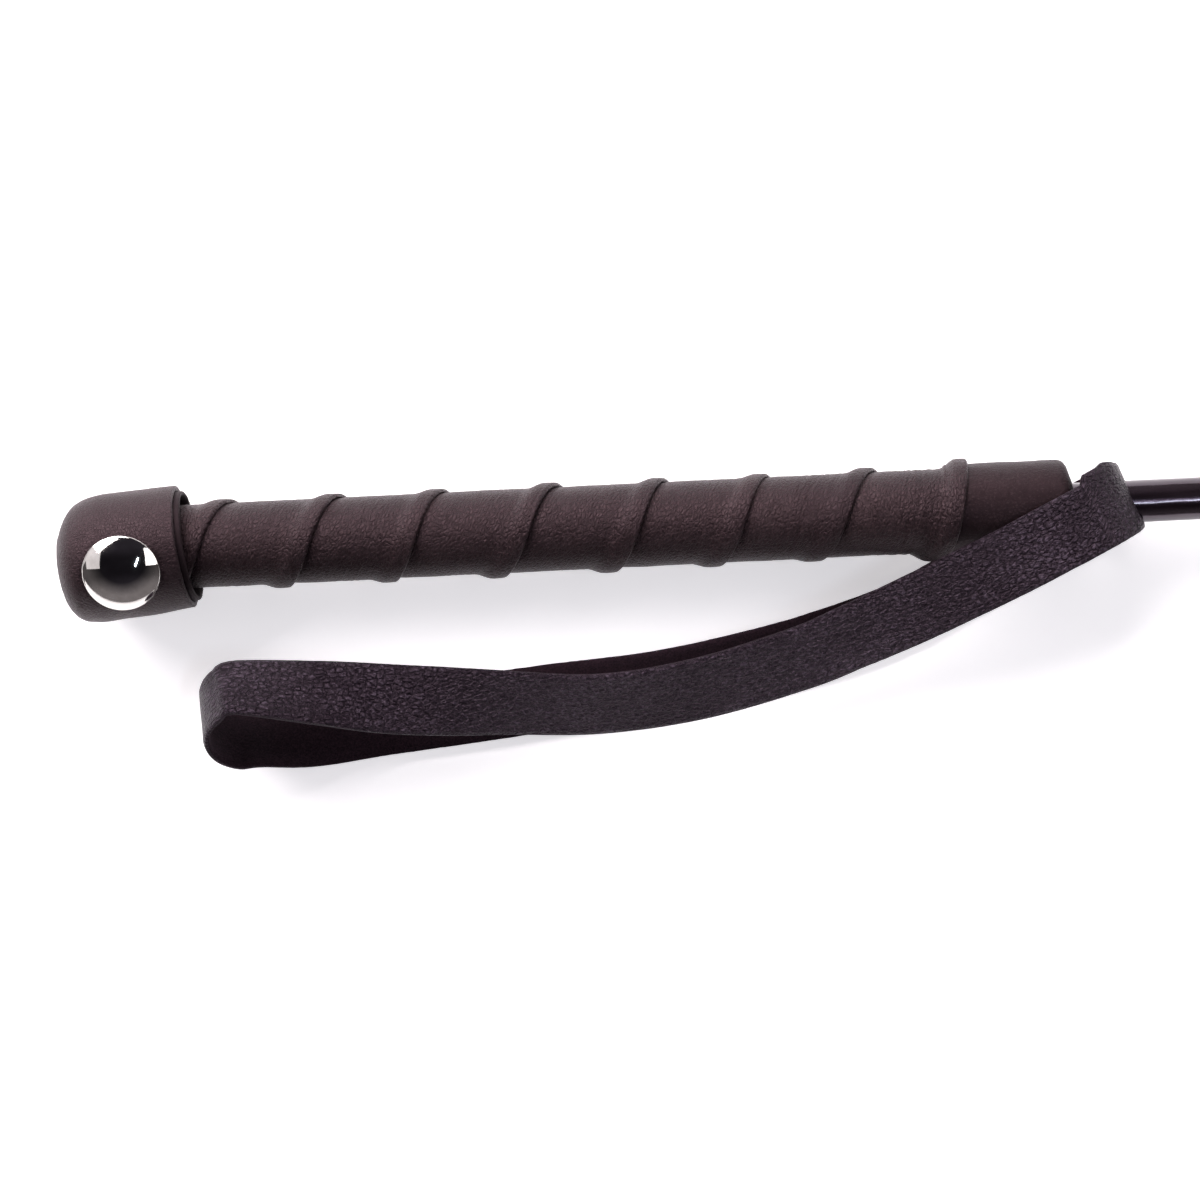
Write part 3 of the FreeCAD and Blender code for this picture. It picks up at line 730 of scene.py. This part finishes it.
# behind the fold point, height, shift to +y
OUTER_END = [(1.5, 3.6, 0.0), (0.7, 7.0, 0.0), (0.65, 11.0, 0.0), (1.3, 14.6, 0.0),
             (3.6, 18.2, 0.0), (8.0, 20.6, 0.0), (14.5, 21.6, 0.0), (21.0, 21.4, 0.0)]
INNER_END = [(11.5, 0.75, 0.0), (6.6, 1.1, 0.0), (3.6, 3.2, 0.0), (2.2, 6.8, 0.0),
             (2.15, 11.0, 0.0), (2.7, 14.0, 0.2), (4.3, 16.8, 0.5), (7.8, 18.8, 0.9)]
FLOOR_GAP = 0.05                    # the strap rests on the floor and doesn't sink into it
ROLL_CENTRE, ROLL_RADIUS = (-71.6, -33.8, 11.9), 8.5
ROLL_HEADING, ROLL_TILT, ROLL_STEPS = 12.0, -43.0, 6


def fold_station(behind, height, shift):
    """Station at an end of the strap, where it stands up round the shaft."""
    a = math.radians(FOLD_ANGLE)
    x = FOLD_POINT[0] - behind * math.cos(a) - shift * math.sin(a)
    y = FOLD_POINT[1] - behind * math.sin(a) + shift * math.cos(a)
    share = min(behind / 12.0, 1.0)
    return (x, y, height, FOLD_SKEW + share * (FOLD_ANGLE - FOLD_SKEW), 0.0)


def roll_station(turn):
    """Station on the roll, from its top at 0 to its bottom at 180 degrees."""
    heading, tilt = math.radians(ROLL_HEADING), math.radians(ROLL_TILT)
    rise = ROLL_RADIUS * math.cos(math.radians(turn))
    reach = ROLL_RADIUS * math.sin(math.radians(turn))
    aside = rise * math.sin(tilt)
    x = ROLL_CENTRE[0] - reach * math.cos(heading) + aside * math.sin(heading)
    y = ROLL_CENTRE[1] - reach * math.sin(heading) - aside * math.cos(heading)
    return (x, y, ROLL_CENTRE[2] + rise * math.cos(tilt), ROLL_HEADING, ROLL_TILT)


def strap_line():
    """Stations close together along the strap, by Catmull-Rom through the given ones."""
    given = [fold_station(*p) for p in OUTER_END] + UPPER_RUN
    given += [roll_station(180.0 * k / ROLL_STEPS) for k in range(ROLL_STEPS + 1)]
    given += LOWER_RUN + [fold_station(*p) for p in INNER_END]
    given = np.array(given, dtype=float)
    fine = []
    for k in range(len(given) - 1):
        a, b = given[max(k - 1, 0)], given[k]
        c, d = given[k + 1], given[min(k + 2, len(given) - 1)]
        steps = max(3, int(round(np.linalg.norm(c[:3] - b[:3]) / STRAP_STEP)))
        for t in np.arange(steps) / steps:
            fine.append(0.5 * (2 * b + (c - a) * t + (2 * a - 5 * b + 4 * c - d) * t * t
                               + (3 * b - a - 3 * c + d) * t ** 3))
    fine.append(given[-1])
    return np.array(fine)


def strap_relief(run, across, side):
    """Small unevenness of the strap's face; deeper creases where it turns over the fold."""
    stretch = math.exp(-((run - 17.0) / 9.0) ** 2)
    lift = 0.05 * wave(run * 0.13, across * 0.2, 5.0 * side)
    lift += (0.025 + 0.06 * stretch) * wave(run * 0.75, across * 0.33, 11.0 * side)
    return lift


def strap_spread(run):
    """The strip is cut a little wider where it turns over the fold and under the roll."""
    ease = smooth(10.0, 17.0, run) * (1.0 - smooth(21.6, 22.3, run))
    under_roll = math.exp(-((run - 224.0) / 10.0) ** 2)
    return 0.35 * (1.0 - smooth(16.0, 18.0, run)) + 1.55 * ease + 2.0 * under_roll


def strap_shell(middles, acrosses, normals):
    """Rings of the strap: inner face, rounded edge, outer face, rounded edge.  Any extra
    width stands on its +across edge."""
    share = np.linspace(-1.0, 1.0, STRAP_COLUMNS)
    thick = 0.5 * STRAP_LEATHER
    points, flow = [], []
    run = 0.0
    for k, (m, a, n) in enumerate(zip(middles, acrosses, normals)):
        if k:
            run += np.linalg.norm(m - middles[k - 1])
        extra = float(strap_spread(run))
        m = m + a * (0.5 * extra)
        half = 0.5 * (STRAP_WIDTH + extra)
        for side in (1.0, -1.0):
            for s in share * side:
                round_off = 0.22 * float(smooth(0.93, 1.0, abs(s)))
                lift = thick - round_off + strap_relief(run, s * half, side)
                points.append(m + a * (s * (half - 0.12)) + n * (lift * side))
                flow.append((run, s * half, SUEDE if side > 0 else GRAIN))
            ragged = 0.06 * wave(run * 0.9, side * 7.0) + 0.05 * wave(run * 0.2, side * 3.0)
            for lift in (0.3 * thick, -0.3 * thick):
                points.append(m + a * (side * (half + ragged)) + n * (side * lift))
                flow.append((run, side * half, CUT_EDGE))
    points = np.array(points)
    points[:, 2] = np.maximum(points[:, 2], FLOOR_GAP)
    return points, flow, run


def punch_holes(strap):
    """Cut the hole for the shaft through both ends of the strap."""
    count = 64
    angles = np.linspace(0.0, 2.0 * math.pi, count, endpoint=False)
    bore = [around(np.full(count, x), np.full(count, STRAP_HOLE), angles)
            for x in (HOLE_START, HOLE_END)]
    cutter = piece("strap_hole", laid(np.array(bore).reshape(-1, 3)), tube_faces(2, count),
                   looks["strap"], None)
    punch = strap.modifiers.new("hole", "BOOLEAN")
    punch.operation, punch.solver, punch.object = "DIFFERENCE", "EXACT", cutter
    ready = bpy.context.evaluated_depsgraph_get()
    cut = bpy.data.meshes.new_from_object(strap.evaluated_get(ready))
    strap.modifiers.clear()
    strap.data = cut
    cut.shade_smooth()
    bpy.data.objects.remove(cutter)


def make_strap():
    """One strap from its outer end round the roll to its inner end, holed at both."""
    line = strap_line()
    places = line[:, :3]
    tangents = np.gradient(places, axis=0)
    tangents /= np.linalg.norm(tangents, axis=1)[:, None]
    heading, tilt = np.radians(line[:, 3]), np.radians(line[:, 4])
    acrosses = np.stack([-np.sin(heading) * np.cos(tilt), np.cos(heading) * np.cos(tilt),
                         np.sin(tilt)], axis=-1)
    acrosses -= tangents * np.sum(tangents * acrosses, axis=1)[:, None]
    acrosses /= np.linalg.norm(acrosses, axis=1)[:, None]
    normals = np.cross(tangents, acrosses)
    points, flow, length = strap_shell(places, acrosses, normals)
    made = piece("wrist_loop_strap", points, strip_faces(len(line), STRAP_COLUMNS),
                 looks["strap"], "loop", ["wrist_loop"], flow)
    punch_holes(made)


# ---- tip ----
WHIPPING = (466.0, 486.0)
THREAD_RADIUS = 0.45
KEEPER_LEATHER, KEEPER_WIDTH, KEEPER_NECK, BOUND_WIDTH = 1.6, 20.0, 14.4, 9.0
FOLD_RADIUS = 0.5 * KEEPER_LEATHER + 0.01
KEEPER_COLUMNS = 15
KEEPER_ROOT_X, TIP_X, KEEPER_DROOP = 462.0, 542.0, 6.85
STITCH_ROW, STITCH_SPAN = 12.0, 15.6   # from the bend, and across the keeper


def drooped(points):
    """Put points drawn about the bend on the tongue, which hangs a little."""
    return turned_about(points, "Y", KEEPER_DROOP) + [BEND_X, 0, axis_z(BEND_X)]


def keeper_path():
    """Stations along the leather: place and side, out over the top and back underneath."""
    reach = (TIP_X - BEND_X) / math.cos(math.radians(KEEPER_DROOP))
    far = BEND_X + reach - FOLD_RADIUS - 0.8
    leaf = np.concatenate([np.linspace(KEEPER_ROOT_X, 486.0, 30),
                           np.linspace(486.6, 499.0, 26),
                           np.linspace(499.8, far, 50)])
    fold = np.radians(np.linspace(90.0, -90.0, 9))
    path = [(x, 1.0) for x in leaf]
    path += [(far + FOLD_RADIUS * math.cos(a), math.sin(a)) for a in fold]
    return path + [(x, -1.0) for x in leaf[::-1]]


def keeper_row(x, side, share):
    """Middle of the leather across the keeper: bent round the shaft, then flat."""
    root_radius = float(taper(KEEPER_ROOT_X, SLEEVE_RADIUS, SLEEVE_TIP_RADIUS)) + 0.02
    bound_radius = root_radius + 0.5 * KEEPER_LEATHER
    flat = float(smooth(484.0, 495.0, x))
    level = bound_radius * (1.0 - flat) + FOLD_RADIUS * flat
    half = 0.5 * (BOUND_WIDTH + (KEEPER_NECK - BOUND_WIDTH) * flat
                  + (KEEPER_WIDTH - KEEPER_NECK) * float(smooth(493.0, 504.0, x)))
    bend = (1.0 - flat) / bound_radius + 1e-4
    bow = 0.05 * wave(x * 0.11, side * 2.0) * flat
    facing = 1.0 if side > 0 else -1.0
    row = []
    for s in share:
        angle = s * half * bend
        z = level * side + (math.cos(angle) - 1.0) / bend * facing
        row.append((x, math.sin(angle) / bend, z + bow))
    return row


def keeper_shell(rows):
    """Rings of the keeper about the rows: grain side, edge, flesh side, edge."""
    count = rows.shape[1]
    thick = 0.5 * KEEPER_LEATHER
    column = 1.4                    # width of a column on the flat leather
    over = np.gradient(rows, axis=1)
    normal = np.cross(np.gradient(rows, axis=0), over)
    normal /= np.linalg.norm(normal, axis=2)[:, :, None]
    points, flow = [], []
    run = 0.0
    for i, row in enumerate(rows):
        if i:
            run += np.linalg.norm(row[count // 2] - rows[i - 1][count // 2])
        step = over[i] / np.linalg.norm(over[i], axis=1)[:, None]
        for j, s in enumerate(np.linspace(-1.0, 1.0, count)):
            round_off = 0.25 * float(smooth(0.9, 1.0, abs(s)))
            lift = thick - round_off + 0.03 * wave(run * 0.3, j * 0.5, 4.0)
            points.append(row[j] + normal[i][j] * lift)
            flow.append((run, j * column, GRAIN))
        for lift in (0.3, -0.3):
            points.append(row[-1] + step[-1] * 0.16 + normal[i][-1] * lift * thick)
            flow.append((run, (count - 1) * column, CUT_EDGE))
        for j in range(count - 1, -1, -1):
            points.append(row[j] - normal[i][j] * (thick - 0.02))
            flow.append((run, j * column, SUEDE))
        for lift in (-0.3, 0.3):
            points.append(row[0] - step[0] * 0.16 + normal[i][0] * lift * thick)
            flow.append((run, 0.0, CUT_EDGE))
    return np.array(points), flow, run


def make_keeper():
    """One strip of leather, folded at the tip, both ends bound on the shaft."""
    share = np.linspace(-1.0, 1.0, KEEPER_COLUMNS)
    rows = np.array([keeper_row(x, side, share) for x, side in keeper_path()])
    points, flow, run = keeper_shell(rows)
    droop = smooth(486.0, 499.0, points[:, 0])[:, None]
    points = laid(points) * (1.0 - droop) + drooped(points - [BEND_X, 0, 0]) * droop
    made = piece("keeper_leather_fold", points, strip_faces(len(rows), KEEPER_COLUMNS),
                 looks["keeper"], None, (), flow)
    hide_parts("keeper_root", "keeper_tongue")
    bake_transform(made)


def tube(line, radius, count, normals=None):
    """Points of a round thread along a line of points, with closed ends."""
    line = np.asarray(line, dtype=float)
    tangents = np.gradient(line, axis=0)
    tangents /= np.linalg.norm(tangents, axis=1)[:, None]
    if normals is None:
        normals = np.tile([0.0, 0.0, 1.0], (len(line), 1))
    points = []
    for p, t, n in zip(line, tangents, normals):
        n = n - t * np.dot(t, n)
        n = n / np.linalg.norm(n)
        b = np.cross(t, n)
        for k in range(count):
            a = 2.0 * math.pi * k / count
            points.append(p + radius * (math.cos(a) * n + math.sin(a) * b))
    return np.array(points), tube_faces(len(line), count)


def make_whipping():
    """Waxed thread bound in close turns."""
    start, end = WHIPPING
    base = float(taper(KEEPER_ROOT_X, SLEEVE_RADIUS, SLEEVE_TIP_RADIUS)) + KEEPER_LEATHER
    turns = int(round((end - start) / (2.0 * THREAD_RADIUS)))
    per_turn, sides = 40, 10
    steps = np.arange(turns * per_turn + 1) / per_turn
    angle = 2.0 * math.pi * steps
    x = start + THREAD_RADIUS + steps * (end - start - 2.0 * THREAD_RADIUS) / turns
    x = x + np.array([0.05 * wave(a * 0.4) for a in angle])
    r = base + THREAD_RADIUS + 0.05 + np.array([0.04 * wave(a * 0.3, 9.0) for a in angle])
    line = around(x, r, angle)
    outward = around(np.zeros_like(x), np.ones_like(x), angle)
    points, faces = tube(line, THREAD_RADIUS, sides, outward)
    run = np.repeat(angle * base, sides)
    girth = np.tile(np.arange(sides) * 0.28, len(x))
    flow = np.stack([run, girth, np.zeros(len(run))], -1)
    piece("tip_whipping_thread", laid(points), faces, looks["whipping"], "crop",
          ["tip_whipping"], flow)


def make_stitches():
    """A row of stitches through the keeper, each one dipping into its holes."""
    count, sides = 6, 10
    spacing = STITCH_SPAN / count
    top = KEEPER_LEATHER + THREAD_RADIUS * 0.75
    t = np.linspace(-1.0, 1.0, 17)
    points, faces, flow = [], [], []
    for k in range(count):
        y = (k - 0.5 * (count - 1)) * spacing
        for side in (-1.0, 1.0):
            z = side * (top - 0.85 * np.abs(t) ** 5)
            slant = 0.18 * t * side
            line = np.stack([STITCH_ROW + slant, y + 0.42 * spacing * t, z], axis=-1)
            thread, thread_faces = tube(line, THREAD_RADIUS * 0.92, sides)
            faces += [tuple(i + len(points) for i in f) for f in thread_faces]
            points += list(thread)
            flow += [(p[1] * 1.6, 0.28 * (j % sides), 0.0) for j, p in enumerate(thread)]
    piece("keeper_stitch_thread", drooped(points), faces, looks["stitch"], "keeper",
          ["keeper_stitches"], flow)


make_sleeve()
make_wrap()
make_collar()
cup("butt_cap_leather", 0.0, CAP_LEATHER - CUP_GAP, 0.0, looks["cap"], "butt_cap")
cup("butt_lining_leather", CAP_LEATHER, CAP_LEATHER + LINING_LEATHER - CUP_GAP, LINING_EDGE,
    looks["lining"], "butt_lining")
make_rivet()
make_strap()
make_whipping()
make_keeper()
make_stitches()


# ---- floor, light, camera ----
def make_floor():
    """Plain pale paper, lit a little from within so that it stays white under the crop."""
    half = 4.0
    corners = [(-half, -half, 0), (half, -half, 0), (half, half, 0), (-half, half, 0)]
    mesh = bpy.data.meshes.new("floor")
    mesh.from_pydata(corners, [], [(0, 1, 2, 3)])
    shader = Shader("floor_paper", Specular_IOR_Level=0.2, Emission_Strength=0.53,
                    Emission_Color=(1.0, 0.975, 1.0, 1.0))
    tone = shader.noise(shader.where(source="object"), 0.004, 2.0)
    mesh.materials.append(shader.led_by(
        tone, [(0.2, (0.90, 0.895, 0.905)), (0.8, (0.93, 0.925, 0.935))],
        [(0.2, 0.8), (0.8, 0.9)]))
    floor = bpy.data.objects.new("floor", mesh)
    bpy.context.scene.collection.objects.link(floor)


def area_light(name, place, target, size, power, colour):
    """Rectangular light; place and target in the crop's frame, in millimetres."""
    data = bpy.data.lights.new(name, "AREA")
    data.shape = "RECTANGLE"
    data.size, data.size_y = size[0] * MM, size[1] * MM
    data.energy = power
    data.color = colour
    light = bpy.data.objects.new(name, data)
    bpy.context.scene.collection.objects.link(light)
    light.location = Vector(placed(place))
    aim = Vector(placed(target)) - light.location
    light.rotation_euler = aim.to_track_quat("-Z", "Y").to_euler()


def make_world():
    """A room that is dark overhead, with pale walls on both sides of the crop, -Y and +Y,
    and dimmer ones at its ends."""
    world = bpy.data.worlds.new("studio")
    bpy.context.scene.world = world
    world.use_nodes = True
    nodes = Nodes(world.node_tree)
    direction = nodes.add("SeparateXYZ", {0: nodes.add("TexCoord").outputs["Generated"]})
    height = nodes.ramp(direction.outputs["Z"], [(0.28, (0.30, 0.27, 0.28)),
                                                 (0.70, (0.030, 0.026, 0.034))])
    across = nodes.add("MapRange", {"Value": direction.outputs["Y"], "From Min": -1.0})
    side = nodes.ramp(across.outputs["Result"],
                      [(0.10, 0.38), (0.30, 0.15), (0.5, 0.16), (0.72, 0.45)], "EASE")
    room = nodes.add("Mix", {"Factor": 1.0, 6: height, 7: side}, data_type="RGBA",
                     blend_type="MULTIPLY")
    back = nodes.add("Background", {"Color": room.outputs[2], "Strength": 2.0})
    nodes.add("OutputWorld", {0: back.outputs[0]})


# straight down on the handle: place in millimetres, width of view and turn in degrees
CAMERA_PLACE, CAMERA_VIEW, CAMERA_TURN = (-0.71, -14.5, 461.9), 29.63, -2.75


def make_camera():
    data = bpy.data.cameras.new("camera")
    data.sensor_fit = "HORIZONTAL"
    data.angle = math.radians(CAMERA_VIEW)
    camera = bpy.data.objects.new("camera", data)
    bpy.context.scene.collection.objects.link(camera)
    camera.location = Vector(placed(CAMERA_PLACE))
    camera.rotation_euler = (0.0, 0.0, math.radians(CAMERA_TURN))
    bpy.context.scene.camera = camera


make_floor()
area_light("window", (-480, 810, 630), (0, -10, 0), (1400, 720), 33.5, (1.0, 0.94, 0.945))
area_light("end_window", (-920, 140, 560), (-60, -20, 0), (760, 560), 1.2, (1.0, 0.95, 0.98))
area_light("right_wall", (720, 60, 500), (90, -10, 0), (520, 480), 2.4, (1.0, 0.96, 0.98))
area_light("lamp", (380, -110, 900), (100, 0, 0), (280, 28), 0.95, (0.78, 0.88, 1.0))
make_world()
make_camera()
bpy.context.scene.view_settings.view_transform = "Standard"
